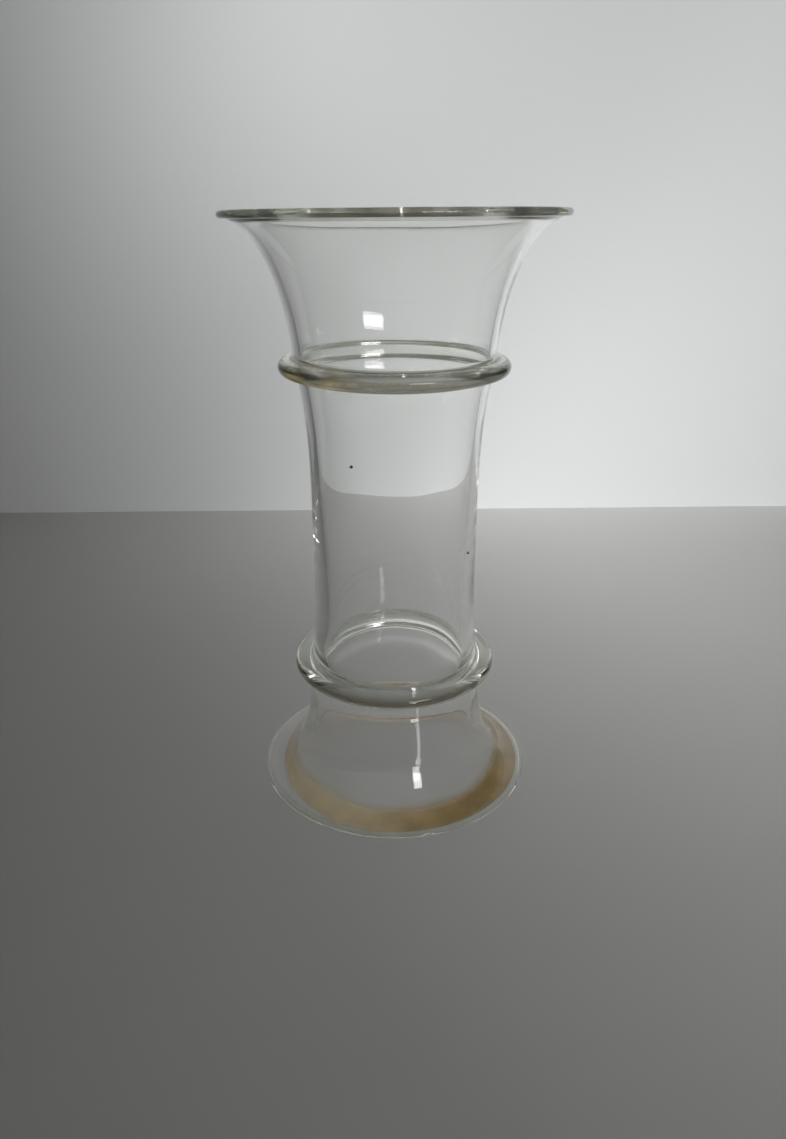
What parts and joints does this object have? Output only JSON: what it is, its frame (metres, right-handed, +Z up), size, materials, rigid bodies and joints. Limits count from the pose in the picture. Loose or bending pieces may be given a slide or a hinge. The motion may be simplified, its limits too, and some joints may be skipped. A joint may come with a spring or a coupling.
{
  "type": "flared glass vessel",
  "caption": "Tall clear glass vessel, open at both ends, with a trumpet mouth, a waisted column ringed by fused glass collars and a bell foot that it stands on.",
  "frame": {"origin": "on the vessel's axis, at the surface that the foot stands on", "axes": "+Z up along the vessel's axis, towards the mouth; +X and +Y lie in the surface that it stands on, and the vessel is the same all round"},
  "size_m": [0.146, 0.146, 0.2686],
  "materials": {
    "wall_glass": "gloss, clear",
    "rod_glass": "gloss, clear with a faint olive edge"
  },
  "bodies": {
    "root": {"mouth_rim_bead": "rod_glass", "trumpet_mouth": "wall_glass", "upper_ring": "rod_glass", "column": "wall_glass", "lower_ring": "rod_glass", "bell_foot": "wall_glass", "foot_rim_bead": "rod_glass"}
  },
  "joints": []
}
